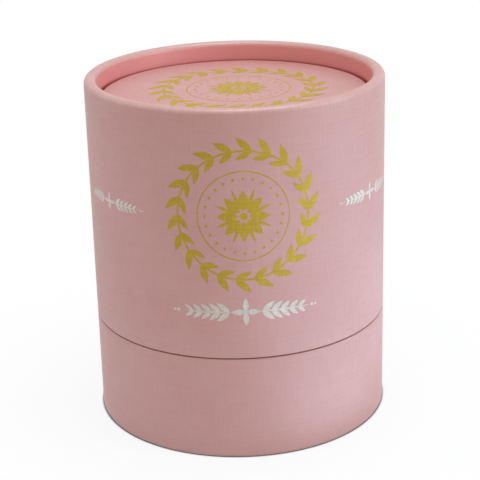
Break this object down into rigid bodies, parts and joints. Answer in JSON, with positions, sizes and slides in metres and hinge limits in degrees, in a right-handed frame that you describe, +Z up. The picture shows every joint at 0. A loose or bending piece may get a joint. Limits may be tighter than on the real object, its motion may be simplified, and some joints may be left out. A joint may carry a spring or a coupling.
{
  "type": "gift tube box",
  "caption": "Round paper-wrapped board gift tube: a tall lid with a recessed top panel lifts straight up off a short base and the inner neck that holds the packed item.",
  "frame": {"origin": "centre of the circle that the base stands on, at floor level", "axes": "+Z up the tube's axis towards the lid; -Y towards the decorated front, +Y towards the glued overlap at the back"},
  "size_m": [0.09, 0.0902, 0.1055],
  "materials": {
    "pink_paper": "fine linen emboss, slightly pearly",
    "white_paper": "uncoated, off-white",
    "grey_board": "raw recycled board"
  },
  "bodies": {
    "base": {"base_tube": "grey_board", "base_wrap": "pink_paper", "base_panel": "grey_board", "base_panel_paper": "pink_paper", "base_floor_paper": "white_paper", "neck_tube": "grey_board", "neck_wrap": "white_paper", "neck_lining": "white_paper"},
    "lid": {"lid_tube": "grey_board", "lid_wrap": "pink_paper", "lid_lining": "white_paper", "lid_panel": "grey_board", "lid_panel_paper": "pink_paper", "lid_ceiling_paper": "white_paper", "lid_collar": "grey_board"}
  },
  "joints": [
    {"name": "lid_lift", "type": "slide", "parent": "base", "child": "lid", "axis": [0, 0, 1], "range_m": [0, 0.07]}
  ]
}
